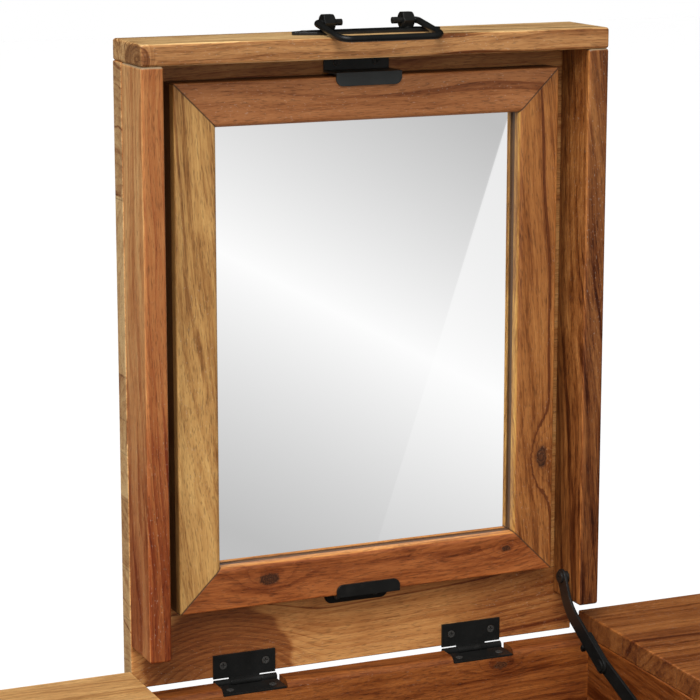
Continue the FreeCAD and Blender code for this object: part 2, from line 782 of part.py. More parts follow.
def stay_wall_bracket():
    """The foot bracket, which holds the lower arm off the wall and clear of the closed lid.

    Returns its screws' places."""
    pin = cell("knee_pin")
    thick = cell("bracket_thick")
    long = cell("bracket_long")
    tall = cell("bracket_tall")
    corner = Vector(WALL - thick, FOOT.y - long / 2, FOOT.z - tall / 2)
    plate = Part.makeBox(thick, long, tall, corner)
    corners = [edge for edge in plate.Edges if edge.BoundBox.XLength > thick / 2]
    plate = plate.makeFillet(cell("bracket_round"), corners)
    boss_x = LOWER_X + cell("arm_thick") + cell("arm_gap")
    inside = WALL - thick / 2
    boss = disc(pin + cell("pin_head"), inside - boss_x, FOOT, boss_x)
    cap_x = LOWER_X - cell("cap_play") - cell("cap_thick")
    stud = disc(pin, inside - cap_x, FOOT, cap_x)
    cap = disc(pin + cell("pin_head"), cell("cap_thick"), FOOT, cap_x)
    bracket = plate.fuse([boss, stud, cap]).removeSplitter()
    spots = []
    for side in (-1, 1):
        spot = Vector(WALL - thick, FOOT.y + side * cell("bracket_screw"), FOOT.z)
        hole = cell("screw_head") + cell("screw_play")
        bracket = bracket.cut(disc(hole, 2 * thick, spot, spot.x - thick / 2))
        sunk = spot + ALONG * cell("bracket_screw_sunk")
        spots.append((tuple(sunk), Rotation(Vector(0, 1, 0), -90)))
    solids("stay_wall_bracket", [bracket])
    return spots


def flat_finger(start, end, half, x):
    """A short flat bar with one round end, lying across X from x."""
    way = (end - start).normalize()
    across = Vector(0, -way.z, way.y) * half
    corners = [start + across, end + across, end - across, start - across, start + across]
    strip = Part.Face(Part.makePolygon(corners)).extrude(ALONG * cell("arm_thick"))
    finger = strip.fuse(Part.makeCylinder(half, cell("arm_thick"), end, ALONG))
    finger.translate(ALONG * x)
    return finger


# ---------------------------------------------------------------- bail pulls

def pull_plate_shape():
    """The back plate lying on z = 0: long, with tapered round ends and two screw holes."""
    half = cell("plate_long") / 2
    wide = cell("plate_wide") / 2
    neck = cell("post_apart") / 2 + cell("plate_neck")
    tip = cell("plate_tip")
    points = [(-half + tip, -tip), (-neck, -wide), (neck, -wide), (half - tip, -tip),
              (half - tip, tip), (neck, wide), (-neck, wide), (-half + tip, tip)]
    lines = [Part.makeLine(Vector(*points[i], 0), Vector(*points[i + 1], 0)) for i in (0, 1, 2)]
    lines.append(Part.Arc(Vector(half - tip, -tip, 0), Vector(half, 0, 0),
                          Vector(half - tip, tip, 0)).toShape())
    lines += [Part.makeLine(Vector(*points[i], 0), Vector(*points[i + 1], 0)) for i in (4, 5, 6)]
    lines.append(Part.Arc(Vector(tip - half, tip, 0), Vector(-half, 0, 0),
                          Vector(tip - half, -tip, 0)).toShape())
    plate = Part.Face(Part.Wire(lines)).extrude(Vector(0, 0, cell("plate_thick")))
    upper = [e for e in plate.Edges if e.BoundBox.ZMin > cell("plate_thick") - 0.01]
    plate = plate.makeFillet(cell("plate_round"), upper)
    hole = cell("screw_head") + cell("screw_play")
    for x, _ in pull_screw_spots():
        plate = plate.cut(Part.makeCylinder(hole, 2 * cell("plate_thick"), Vector(x, 0, 0)))
    return plate


def pull_screw_spots():
    return [(side * (cell("post_apart") / 2 + cell("plate_screw")), 0) for side in (-1, 1)]


def pull_post_shape(x):
    """An eye post: hexagonal head across the rod, on a round neck."""
    flats = cell("post_flats")
    wide = cell("post_wide")
    height = cell("pivot_tall")
    corner = flats / math.sqrt(3)
    turns = [math.radians(60 * k + 30) for k in range(7)]
    ring = [Vector(-wide / 2, corner * math.sin(turn), corner * math.cos(turn)) for turn in turns]
    head = Part.Face(Part.makePolygon(ring)).extrude(Vector(wide, 0, 0))
    for side in (-1, 1):
        trim = Part.makeCone(corner - 1, corner + wide, wide + 1, Vector(side * wide / 2, 0, 0),
                             Vector(-side, 0, 0))
        head = head.common(trim)
    head.translate(Vector(0, 0, height))
    base = cell("plate_thick")
    below = Part.makeBox(2 * wide, 2 * flats, flats, Vector(-wide, -flats, base - flats))
    neck = Part.makeCylinder(wide / 2, height - base, Vector(0, 0, base))
    post = head.fuse(neck).cut(below)
    bore = Part.makeCylinder(cell("rod") + cell("rod_play"), wide * 2, Vector(-wide, 0, height),
                             Vector(1, 0, 0))
    post = post.cut(bore).removeSplitter()
    post.translate(Vector(x, 0, 0))
    return post


def bail_shape(droop):
    """The round-rod bail: ends through the posts, arms forward to -Y, grip across."""
    half = cell("bail_wide") / 2
    inner = cell("post_apart") / 2 - cell("post_wide") / 2 - cell("bail_tail")
    long = cell("bail_long")
    corners = [(-inner, 0), (-half, 0), (-half, -long), (half, -long), (half, 0), (inner, 0)]
    bends = [cell("bail_bend"), cell("bail_corner"), cell("bail_corner"), cell("bail_bend")]
    edges = []
    last = Vector(*corners[0], 0)
    for i, radius in enumerate(bends, start=1):
        corner = Vector(*corners[i], 0)
        back = (Vector(*corners[i - 1], 0) - corner).normalize()
        ahead = (Vector(*corners[i + 1], 0) - corner).normalize()
        a = corner + back * radius
        b = corner + ahead * radius
        middle = corner + (back + ahead) * radius + (back + ahead).normalize() * -radius
        edges += [Part.makeLine(last, a), Part.Arc(a, middle, b).toShape()]
        last = b
    edges.append(Part.makeLine(last, Vector(*corners[-1], 0)))
    ring = Part.Wire(Part.makeCircle(cell("rod"), Vector(*corners[0], 0), Vector(1, 0, 0)))
    rod = Part.Wire(edges).makePipeShell([ring], True, False)
    rod.rotate(Vector(), Vector(1, 0, 0), droop)
    rod.translate(Vector(0, 0, cell("pivot_tall")))
    return rod


def pull(prefix, place, droop):
    """A pull on a face: its own z is the face's outward normal, and the bail hangs to its -Y."""
    solids(prefix + "_plate", [moved(pull_plate_shape(), place)])
    posts = [pull_post_shape(side * cell("post_apart") / 2) for side in (-1, 1)]
    solids(prefix + "_posts", [moved(post, place) for post in posts])
    solids(prefix + "_bail", [moved(bail_shape(droop), place)])
    spots = []
    for x, y in pull_screw_spots():
        spot = place.multVec(Vector(x, y, cell("plate_thick") + 0.1))
        spots.append((tuple(spot), place.Rotation))
    return spots


# ---------------------------------------------------------------- drawers

def drawer(name, side):
    """A drawer: inset front, two sides, back and base, with a bail pull."""
    gap = cell("drawer_gap")
    thin = cell("drawer_side")
    bay = LEG_IN - SIDE_BAY
    play = cell("drawer_play")
    low = CASE + cell("front_rail_tall") + cell("runner") + cell("drawer_lift")
    behind = FRONT + BOARD
    left = low_x(side, SIDE_BAY, LEG_IN)
    prefix = "drawer_%s_" % name
    bay_text = "table_width / 2 - leg_wide - lid_wide / 2 - lid_gap - board"
    board(prefix + "front", bay_text + " - 2 * drawer_gap", "board",
          "case_tall - board - front_rail_tall - 2 * drawer_gap",
          (left + gap, FRONT, CASE + cell("front_rail_tall") + gap))
    for end, near in (("inner", SIDE_BAY + play), ("outer", LEG_IN - play - thin)):
        board(prefix + "side_" + end, "drawer_side", "drawer_deep", "drawer_tall",
              (low_x(side, near, near + thin), behind, low))
    inside = bay_text + " - 2 * drawer_play - 2 * drawer_side"
    board(prefix + "back", inside, "drawer_side", "drawer_tall",
          (left + play + thin, behind + cell("drawer_deep") - thin, low))
    board(prefix + "base", inside, "drawer_deep - drawer_side", "drawer_base",
          (left + play + thin, behind, low + cell("drawer_base_up")), "eased / 2")
    middle = Vector(left + bay / 2, FRONT, CASE + cell("front_rail_tall") + cell("pull_high"))
    spots = pull(prefix + "pull", Placement(middle, FACE_FRONT), 0)
    screws(prefix + "screws", spots)


# ---------------------------------------------------------------- the whole table

def build():
    for name, side in SIDES:
        fixed_top(name, side)
        case_side(name, side)
    corners = (("front_left", -HALF, FRONT, 0), ("front_right", HALF, FRONT, 90),
               ("back_right", HALF, BACK, 180), ("back_left", -HALF, BACK, 270))
    for name, x, y, turn in corners:
        leg("leg_" + name, x, y, turn)
    runners()
    compartment()
    lid()
    mirror()
    lid_spots = [((x, LID_FACE - cell("clip_thick"), z), FACE_FRONT) for x, z in mirror_clips()]
    hinges()
    table_spots = stay()
    for side in (-1, 1):
        for x, out in leaf_screw_spots():
            x = x + side * cell("hinge_apart") / 2
            lid_spots.append(((x, LID_FACE - cell("leaf_thick"), PIN_Z + out), FACE_FRONT))
            flat_z = PIN_Z - cell("leaf_back") + cell("leaf_thick")
            table_spots.append(((x, PIN_Y - out, flat_z), Rotation()))
    rail_middle = Vector(0, LID_FRONT + cell("lid_deep") / 2, LID_HIGH)
    lid_spots += pull("lid_pull", Placement(rail_middle, Rotation()), 10)
    screws("lid_screws", lid_spots)
    screws("table_screws", table_spots)
    for name, side in SIDES:
        drawer(name, side)


def check_and_write():
    doc.recompute()
    for item in doc.Objects:
        if "Invalid" in item.State or "Error" in item.State:
            raise RuntimeError("%s failed: %s" % (item.Label, item.State))
    os.makedirs("parts", exist_ok=True)
    for item in nodes:
        shape = item.Shape
        if shape.isNull() or not shape.isValid() or not shape.Solids:
            raise RuntimeError("%s has no valid solid" % item.Label)
        shape.exportStep(os.path.join("parts", item.Label + ".step"))
    print("%d sub-parts written" % len(nodes))


build()
check_and_write()
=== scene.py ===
import json
import math
import random
from dataclasses import dataclass

import bpy
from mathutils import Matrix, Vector

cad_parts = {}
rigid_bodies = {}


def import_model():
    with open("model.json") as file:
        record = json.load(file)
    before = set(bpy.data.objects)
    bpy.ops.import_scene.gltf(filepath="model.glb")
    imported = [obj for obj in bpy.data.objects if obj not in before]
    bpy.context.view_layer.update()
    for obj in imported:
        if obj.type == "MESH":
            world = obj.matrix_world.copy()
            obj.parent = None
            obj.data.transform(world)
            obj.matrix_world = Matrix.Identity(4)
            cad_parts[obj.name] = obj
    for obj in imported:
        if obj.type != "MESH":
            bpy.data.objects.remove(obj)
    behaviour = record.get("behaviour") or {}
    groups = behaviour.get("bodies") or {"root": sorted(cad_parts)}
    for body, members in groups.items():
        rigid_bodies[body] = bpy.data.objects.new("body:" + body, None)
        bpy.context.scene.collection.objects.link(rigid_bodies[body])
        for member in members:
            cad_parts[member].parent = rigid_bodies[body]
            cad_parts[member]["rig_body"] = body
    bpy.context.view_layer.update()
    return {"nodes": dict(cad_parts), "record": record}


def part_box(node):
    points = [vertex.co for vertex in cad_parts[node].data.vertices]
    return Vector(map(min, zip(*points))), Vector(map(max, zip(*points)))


# The looks of a solid acacia vanity table whose lid stands open and shows a framed mirror.
# Metres, +Z up, the sitter at -Y, +X to the sitter's right.

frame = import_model()


# ---------------------------------------------------------------- node trees

class Shader:
    """A material's node tree; its methods add nodes and return their output sockets."""

    def __init__(self, name):
        self.material = bpy.data.materials.new(name)
        self.material.use_nodes = True
        self.tree = self.material.node_tree
        self.tree.nodes.clear()

    def node(self, kind, inputs=None, **settings):
        node = self.tree.nodes.new("ShaderNode" + kind)
        for key, value in settings.items():
            setattr(node, key, value)
        for key, value in (inputs or {}).items():
            self.put(node.inputs[key], value)
        return node

    def put(self, socket, value):
        if isinstance(value, bpy.types.NodeSocket):
            self.tree.links.new(value, socket)
        else:
            socket.default_value = value

    def calc(self, operation, a, b=0.0, c=0.0):
        return self.node("Math", {0: a, 1: b, 2: c}, operation=operation).outputs[0]

    def add(self, a, b):
        return self.calc("ADD", a, b)

    def minus(self, a, b):
        return self.calc("SUBTRACT", a, b)

    def times(self, a, b):
        return self.calc("MULTIPLY", a, b)

    def plus_part(self, base, value, share, middle=0.5):
        """base + (value - middle) * share"""
        return self.calc("MULTIPLY_ADD", self.minus(value, middle), share, base)

    def vector(self, operation, a, b=(0.0, 0.0, 0.0)):
        node = self.node("VectorMath", {0: a, 1: b}, operation=operation)
        return node.outputs["Value"] if operation == "LENGTH" else node.outputs[0]

    def scale_vector(self, vector, factor):
        node = self.node("VectorMath", {0: vector, "Scale": factor}, operation="SCALE")
        return node.outputs[0]

    def split(self, vector):
        node = self.node("SeparateXYZ", {0: vector})
        return node.outputs[0], node.outputs[1], node.outputs[2]

    def join(self, x, y, z):
        return self.node("CombineXYZ", {0: x, 1: y, 2: z}).outputs[0]

    def noise(self, where, scale, detail=2.0, roughness=0.5):
        """Noise with scale features per metre: one number, or one for each axis."""
        if isinstance(scale, tuple):
            where, scale = self.vector("MULTIPLY", where, scale), 1.0
        node = self.node("TexNoise", {"Vector": where, "Scale": scale, "Detail": detail,
                                      "Roughness": roughness})
        return node.outputs["Fac"]

    def line_noise(self, w, detail=2.0, roughness=0.5):
        node = self.node("TexNoise", {"W": w, "Scale": 1.0, "Detail": detail, "Roughness": roughness},
                         noise_dimensions="1D")
        return node.outputs["Fac"]

    def span(self, value, low, high, to_low=0.0, to_high=1.0):
        """A smooth step of a value from one range to another."""
        node = self.node("MapRange", {"Value": value, "From Min": low, "From Max": high,
                                      "To Min": to_low, "To Max": to_high}, interpolation_type="SMOOTHSTEP")
        return node.outputs[0]

    def ramp(self, value, stops, interpolation="LINEAR"):
        node = self.node("ValToRGB", {0: value})
        ramp = node.color_ramp
        ramp.interpolation = interpolation
        ramp.elements[0].position, ramp.elements[1].position = stops[0][0], stops[-1][0]
        for place, _ in stops[1:-1]:
            ramp.elements.new(place)
        for element, (_, colour) in zip(ramp.elements, stops):
            element.color = (*colour, 1.0)
        return node.outputs[0]

    def mix(self, factor, a, b):
        return self.node("Mix", {0: factor, 6: a, 7: b}, data_type="RGBA").outputs[2]

    def bump(self, height, strength, distance, normal=None):
        inputs = {"Height": height, "Strength": strength, "Distance": distance}
        if normal is not None:
            inputs["Normal"] = normal
        return self.node("Bump", inputs).outputs[0]

    def finish(self, constants, **linked):
        """The principled surface: constants are set on its sockets, and the rest is linked."""
        principled = self.node("BsdfPrincipled")
        for key, value in constants.items():
            principled.inputs[key].default_value = value
        for key, value in linked.items():
            self.put(principled.inputs[key.replace("_", " ")], value)
        self.node("OutputMaterial", {0: principled.outputs[0]})
        return self.material


# ---------------------------------------------------------------- tones of acacia

# Along the tones of a board: how far each is from the board's own colour, darkest streak first.
STEPS = (-1.0, -0.32, 0.0, 0.17, 0.40)
# Where those tones lie on the scale from 0 to 1 that the grain is worked out in.
TONE_STOPS = (0.20, 0.38, 0.50, 0.62, 0.80)
# Darker wood is also redder, so green and blue change more than red does.
REDDENING = (1.0, 1.4, 1.75)


def shades(colour, contrast, redder=1.0):
    """Five tones of one board, from its own colour."""
    powers = (REDDENING[0], REDDENING[1] * redder, REDDENING[2] * redder)
    return [tuple(channel * math.exp(step * contrast * power) for channel, power in zip(colour, powers))
            for step in STEPS]


HONEY = shades((0.41, 0.21, 0.075), 1.1)
STRAW = shades((0.55, 0.30, 0.105), 0.4)
RUSSET = shades((0.30, 0.094, 0.024), 0.9, redder=1.4)
GOLD = shades((0.43, 0.23, 0.070), 0.65)
TAN = shades((0.30, 0.11, 0.034), 0.55)
AMBER = shades((0.28, 0.10, 0.022), 0.9)
CHERRY = shades((0.28, 0.080, 0.018), 0.8)
UMBER = shades((0.18, 0.058, 0.013), 1.5)
WALNUT = shades((0.21, 0.063, 0.012), 0.9)
MAROON = shades((0.20, 0.054, 0.009), 1.0)
HEARTED = shades((0.35, 0.13, 0.034), 1.15, redder=1.1)

GLUE_LINE = (0.050, 0.026, 0.013, 1.0)
FILLER = (0.300, 0.240, 0.150, 1.0)
# Painted shade on a frame stick's rebate wall, in the recess just in front of the glass.
REBATE_SHADE = (0.060, 0.024, 0.008, 1.0)
DUST = (0.620, 0.520, 0.410, 1.0)
KNOT_TONES = [(0.0, (0.100, 0.032, 0.011)), (1.0, (0.010, 0.005, 0.003))]


# ---------------------------------------------------------------- grain of acacia

RING_WIDTH = 0.0065
# The axes' order for a board whose grain runs along one of them: the grain's own axis first.
AXES = {"X": (0, 1, 2), "Y": (1, 0, 2), "Z": (2, 0, 1)}
# Features per metre, along the grain and in the two directions across it.
WARP_SCALE = (3.0, 12.0, 12.0)
RIPPLE_SCALE = (6.0, 70.0, 70.0)
PATCH_SCALE = (2.5, 14.0, 14.0)
MOTTLE_SCALE = (28.0, 40.0, 40.0)
FIBRE_SCALE = (34.0, 800.0, 800.0)
COARSE_SCALE = (5.0, 170.0, 170.0)
PORE_SCALE = (130.0, 1300.0, 1300.0)
STREAK_SCALE = (4.0, 24.0, 24.0)
DUST_SCALE = (420.0, 900.0, 900.0)
# How far slow waves bend the rings, and how far apart in their tree two staves were.
WARP_REACH = (0.0, 0.036, 0.036)
STAVE_SHIFT = (3.0, 0.16, 0.08)
# How many rings are pushed aside by a knot and by a patch of heartwood.
KNOT_RINGS = 2.6
HEART_RINGS = 7.0
# Broad bands and single streaks come at random, so many to a ring.
BANDS_PER_RING = 0.45
STREAKS_PER_RING = 0.9
# The power that leaves late wood only at a ring's outer end, and the mean of what it leaves.
LATE_POWER = 3.0
LATE_MEAN = 0.25
# A mitre's glue line is at full strength this far from its middle, and gone this far from it.
GLUE_FULL = 0.0004
GLUE_GONE = 0.0011
# How much darker wood is round a knot or a patch of heartwood.
ROUND_SHADE = 0.10
HALF = (0.5, 0.5, 0.5)
ACROSS = (0.0, 1.0, 1.0)


@dataclass
class Looks:
    """What sets one board's grain apart; amounts are shares of the scale of tones."""

    middle: float = 0.52          # the board's place along its tones
    bands: float = 0.5            # broad light and dark bands of rings
    patches: float = 0.5          # clouds a hand wide
    figure: float = 0.25          # short mottle
    fibres: float = 0.80          # fine and coarse fibres
    rings: float = 0.13           # dark late wood in each ring
    streaks: float = 0.20         # single dark rings
    pores: float = 0.34           # how much darker the pores are
    pith: tuple = (0.02, 0.06)    # from the board's middle to the pith, in the directions across the grain
    tilt: tuple = (1.5, 2.0)      # turns of the grain, in degrees
    seams: tuple = ()             # places of the joints between glued staves
    seam_axis: str = "Z"
    stave_jitter: float = 0.25    # how much the staves differ in tone
    knots: tuple = ()             # (centre, radius) of each
    drifts: tuple = ()            # (axis, from, to, change of tone) of each
    drifts_end: float = None      # height above which there are no drifts
    heart: tuple = None           # (centre, radii) of a patch of dark heartwood
    mitres: tuple = ()            # (x, z, lean) of the glue lines at a frame stick's ends
    faces: tuple = ()             # (axis, sign, gain) of faces whose colour differs; on most boards painted light and shade, a face turned to the light made paler and one turned away darker
    filled_end: bool = False      # filler shows at the upper end
    glazed: bool = False          # painted shade: a dark band on the rebate wall beside the glass


class Acacia(Shader):
    """Solid acacia for one board, as a volume of growth rings about a pith along the grain."""

    def __init__(self, node, grain, tones, seed, looks):
        super().__init__("acacia_" + node)
        self.low, self.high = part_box(node)
        self.tones = tones
        self.seed = seed
        self.looks = looks
        self.order = AXES[grain]
        self.rng = random.Random(seed)
        coordinates = self.node("TexCoord")
        self.place = coordinates.outputs["Object"]
        self.xyz = self.split(self.place)
        self.normal = self.split(coordinates.outputs["Normal"])
        self.grow()
        self.add_details()

    def along(self, axis):
        return self.xyz["XYZ".index(axis)]

    def grow(self):
        """The rings: distance from the pith, bent by slow waves along the grain."""
        centre = (self.low + self.high) / 2
        local = self.join(*[self.minus(self.xyz[i], centre[i]) for i in self.order])
        self.line = 0.0  # how strong a glue line is here
        if self.looks.seams:
            self.stave = self.staves()
            apart = self.vector("SUBTRACT", self.stave, HALF)
            local = self.vector("ADD", local, self.vector("MULTIPLY", apart, STAVE_SHIFT))
        turn = (0.0, math.radians(self.looks.tilt[0]), math.radians(self.looks.tilt[1]))
        local = self.node("Mapping", {"Vector": local, "Rotation": turn}).outputs[0]
        offset = (self.rng.uniform(-9, 9), self.rng.uniform(-9, 9), self.rng.uniform(-9, 9))
        self.seeded = self.vector("ADD", local, offset)
        warp = self.warp()
        self.bent = self.vector("ADD", self.seeded, warp)
        from_pith = self.vector("SUBTRACT", self.vector("ADD", local, warp), (0.0, *self.looks.pith))
        radius = self.vector("LENGTH", self.vector("MULTIPLY", from_pith, ACROSS))
        self.ripple = self.noise(self.seeded, RIPPLE_SCALE)
        self.ring = self.plus_part(self.times(radius, 1 / RING_WIDTH), self.ripple, 1.0)
        if self.looks.knots:
            self.swell, self.core, self.knot_rings = self.knots()
            self.ring = self.add(self.ring, self.times(self.swell, KNOT_RINGS))
        if self.looks.heart:
            self.inside, self.around = self.heart()
            self.ring = self.add(self.ring, self.times(self.around, HEART_RINGS))
        self.late = self.calc("POWER", self.calc("FRACT", self.ring), LATE_POWER)

    def warp(self):
        """Slow waves that carry the rings sideways."""
        stretched = self.vector("MULTIPLY", self.seeded, WARP_SCALE)
        wave = self.node("TexNoise", {"Vector": stretched, "Scale": 1.0, "Detail": 2.0}).outputs["Color"]
        return self.vector("MULTIPLY", self.vector("SUBTRACT", wave, HALF), WARP_REACH)

    def staves(self):
        """Three random numbers for each stave as a colour, and a glue line at each seam."""
        where = self.along(self.looks.seam_axis)
        seams = self.looks.seams
        margin = 0.3
        low, high = min(seams) - margin, max(seams) + margin
        share = self.node("MapRange", {"Value": where, "From Min": low, "From Max": high}).outputs[0]
        places = [0.0] + [(seam - low) / (high - low) for seam in sorted(seams)]
        stops = [(place, (self.rng.random(), self.rng.random(), self.rng.random())) for place in places]
        stave = self.ramp(share, stops, "CONSTANT")
        for seam in seams:
            gap = self.calc("ABSOLUTE", self.minus(where, seam))
            self.line = self.calc("MAXIMUM", self.line, self.span(gap, 0.0001, 0.0006, 0.5, 0.0))
        return stave

    def knots(self):
        """How far the grain swells round the knots, the knots' cores, and the rings within them."""
        swell, core, rings = 0.0, 0.0, 0.0
        squeeze = [1.0, 1.0, 1.0]
        squeeze[self.order[0]] = 0.5
        for centre, radius in self.looks.knots:
            away = self.vector("MULTIPLY", self.vector("SUBTRACT", self.place, centre), tuple(squeeze))
            wobble = self.noise(self.place, 260.0)
            away = self.plus_part(self.vector("LENGTH", away), wobble, radius * 0.7)
            bell = self.calc("POWER", self.times(away, 0.45 / radius), 2.0)
            swell = self.add(swell, self.calc("EXPONENT", self.times(bell, -1.0)))
            core = self.calc("MAXIMUM", core, self.span(away, radius * 0.60, radius * 0.95, 0.9, 0.0))
            rings = self.calc("MAXIMUM", rings, self.calc("FRACT", self.times(away, 3.2 / radius)))
        return swell, core, rings

    def heart(self):
        """Dark heartwood: how far a point is inside it, and how the rings curve round it."""
        centre, radii = self.looks.heart
        squeeze = tuple(1 / radius for radius in radii)
        away = self.vector("MULTIPLY", self.vector("SUBTRACT", self.place, centre), squeeze)
        away = self.plus_part(self.vector("LENGTH", away), self.ripple, 0.22)
        return self.span(away, 0.94, 1.03, 1.0, 0.0), self.span(away, 0.0, 1.7, 1.0, 0.0)

    def add_details(self):
        """The patterns that the colour and the surface are made from."""
        self.patch = self.noise(self.seeded, PATCH_SCALE)
        self.mottle = self.noise(self.seeded, MOTTLE_SCALE)
        self.fibre = self.noise(self.bent, FIBRE_SCALE, 3.0, 0.75)
        self.coarse = self.noise(self.bent, COARSE_SCALE, 3.0, 0.6)
        self.pore = self.span(self.noise(self.bent, PORE_SCALE, 1.0), 0.54, 0.68)
        self.end = self.span(self.calc("ABSOLUTE", self.normal[self.order[0]]), 0.6, 0.95)
        # Paler edges are a painted highlight along their rounding; the same mask makes them smoother, as
        # wear does.
        self.wear_and_painted_highlight = self.times(self.edges(), self.span(self.coarse, 0.35, 0.6))
        self.add_mitres()

    def edges(self):
        """1 along the board's edges, falling to 0 a few millimetres in."""
        gaps = [self.calc("MINIMUM", self.minus(along, low), self.minus(high, along))
                for along, low, high in zip(self.xyz, self.low, self.high)]
        total = self.add(self.add(gaps[0], gaps[1]), gaps[2])
        widest = self.calc("MAXIMUM", self.calc("MAXIMUM", gaps[0], gaps[1]), gaps[2])
        return self.span(self.minus(total, widest), 0.0010, 0.0030, 1.0, 0.0)

    def add_mitres(self):
        """Glue lines where a frame stick meets its neighbours."""
        x, _, z = self.xyz
        for corner_x, corner_z, lean in self.looks.mitres:
            across = self.calc("MULTIPLY_ADD", self.minus(z, corner_z), lean, self.minus(x, corner_x))
            near = self.span(self.calc("ABSOLUTE", across), GLUE_FULL, GLUE_GONE, 1.0, 0.0)
            self.line = self.calc("MAXIMUM", self.line, near)

    def tone(self):
        """Each point's place along the board's tones, darkest at 0."""
        looks = self.looks
        tone = looks.middle
        if looks.heart:
            rim = self.times(self.around, self.minus(1.0, self.inside))
            tone = self.minus(tone, self.times(rim, ROUND_SHADE))
        along_bands = self.add(self.times(self.ring, BANDS_PER_RING), self.seed * 3.1)
        band = self.line_noise(along_bands, 3.0, 0.6)
        amounts = ((band, looks.bands), (self.patch, looks.patches), (self.mottle, looks.figure),
                   (self.fibre, looks.fibres), (self.coarse, looks.fibres))
        for pattern, amount in amounts:
            tone = self.plus_part(tone, pattern, amount)
        tone = self.plus_part(tone, self.late, -looks.rings, LATE_MEAN)
        if looks.seams:
            tone = self.plus_part(tone, self.split(self.stave)[0], looks.stave_jitter)
        tone = self.drift(tone)
        if looks.knots:
            tone = self.minus(tone, self.times(self.swell, ROUND_SHADE))
        tone = self.minus(tone, self.streaks())
        if looks.heart:
            tone = self.darken_heart(tone)
        return tone

    def drift(self, tone):
        """Slow changes of tone from one part of the board to another."""
        end = self.looks.drifts_end
        share = 1.0 if end is None else self.span(self.xyz[2], end - 0.0002, end + 0.0002, 1.0, 0.0)
        for axis, start, stop, change in self.looks.drifts:
            tone = self.add(tone, self.times(self.span(self.along(axis), start, stop, 0.0, change), share))
        return tone

    def streaks(self):
        """Single dark rings, which run through part of the board."""
        along_streaks = self.add(self.times(self.ring, STREAKS_PER_RING), self.seed * 1.7)
        dark = self.line_noise(along_streaks, 1.0)
        shown = self.span(self.noise(self.seeded, STREAK_SCALE), 0.40, 0.56)
        return self.times(self.span(dark, 0.60, 0.70, 0.0, self.looks.streaks), shown)

    def darken_heart(self, tone):
        """Pull the heartwood's tones towards the darkest, and mark its rings."""
        pull, ring_shade = 0.62, 0.06
        towards = self.times(self.minus(tone, TONE_STOPS[0]), pull)
        tone = self.minus(tone, self.times(self.inside, towards))
        return self.minus(tone, self.times(self.times(self.inside, self.late), ring_shade))

    def colour(self):
        """The wood's colour, with all that lies on it."""
        colour = self.ramp(self.tone(), list(zip(TONE_STOPS, self.tones)))
        colour = self.scale_vector(colour, self.shade())
        # A colour gain on faces that point one way: on most boards painted light and shade.
        for axis, sign, gain in self.looks.faces:
            share = self.span(self.times(self.normal["XYZ".index(axis)], sign), 0.6, 0.9)
            colour = self.mix(share, colour, self.vector("MULTIPLY", colour, gain))
        if self.looks.knots:
            colour = self.mix(self.core, colour, self.ramp(self.knot_rings, KNOT_TONES))
        colour = self.mix(self.times(self.line, 0.80), colour, GLUE_LINE)
        colour = self.mix(self.dust(), colour, DUST)
        # Painted shade: the rebate wall darkens within a few millimetres of the glass, where the recess lies
        # in shade.
        if self.looks.glazed:
            glass_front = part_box("mirror_glass")[0].y
            beside = self.span(self.xyz[1], glass_front - 0.0045, glass_front - 0.0030)
            colour = self.mix(self.times(beside, 0.92), colour, REBATE_SHADE)
        if self.looks.filled_end:
            depth = self.plus_part(self.minus(self.high.z, self.xyz[2]), self.mottle, 0.002)
            colour = self.mix(self.span(depth, 0.0006, 0.0014, 0.75, 0.0), colour, FILLER)
        return colour

    def shade(self):
        """Pores are dark dashes; end grain drinks more oil and is darker; edges are paler, a painted
        highlight along their rounding.
        """
        end_darker, painted_highlight_paler = 0.12, 0.22
        shade = self.minus(1.0, self.times(self.pore, self.looks.pores))
        shade = self.times(shade, self.minus(1.0, self.times(self.end, end_darker)))
        return self.add(shade, self.times(self.wear_and_painted_highlight, painted_highlight_paler))

    def dust(self):
        """Pale flecks left in the pores, more of them in some places."""
        fleck = self.span(self.noise(self.seeded, DUST_SCALE, 1.0), 0.66, 0.74)
        return self.times(fleck, self.span(self.patch, 0.40, 0.60, 0.03, 0.20))

    def surface(self):
        """The finished material: oiled wood, whose fibres, pores and glue lines can be felt."""
        height = self.times(self.add(self.fibre, self.coarse), 0.5)
        height = self.minus(height, self.times(self.pore, 0.4))
        height = self.minus(height, self.times(self.late, 0.2))
        height = self.minus(height, self.times(self.line, 1.5))
        rough = self.plus_part(0.50, self.coarse, 0.40)
        rough = self.add(rough, self.times(self.minus(self.end, self.wear_and_painted_highlight), 0.14))
        constants = {"Coat Weight": 0.05, "Coat Roughness": 0.30, "Specular IOR Level": 0.30}
        return self.finish(constants, Base_Color=self.colour(), Roughness=rough,
                           Normal=self.bump(height, 0.35, 0.0004))


# ---------------------------------------------------------------- metal, glass, board

def powder_coat(name, tint=(0.009, 0.009, 0.0085), rough=0.32):
    """Powder coat, black unless it is tinted: fine orange peel, a little rubbed and dusty in places."""
    s = Shader(name)
    place = s.node("TexCoord").outputs["Object"]
    peel = s.noise(place, 1300.0)
    rubbed = s.noise(place, 45.0, 3.0, 0.6)
    dust = s.span(s.noise(place, 130.0, 4.0, 0.7), 0.52, 0.80)
    dusty = s.mix(s.times(dust, 0.20), (*tint, 1.0), (0.045, 0.042, 0.038, 1.0))
    colour = s.scale_vector(dusty, s.plus_part(1.0, rubbed, 0.7))
    roughness = s.plus_part(s.plus_part(rough, rubbed, 0.22), peel, 0.12)
    rounded = s.node("Bevel", {"Radius": 0.0007}, samples=6).outputs[0]
    return s.finish({"Specular IOR Level": 0.5}, Base_Color=colour, Roughness=roughness,
                    Normal=s.bump(peel, 0.30, 0.00015, rounded))


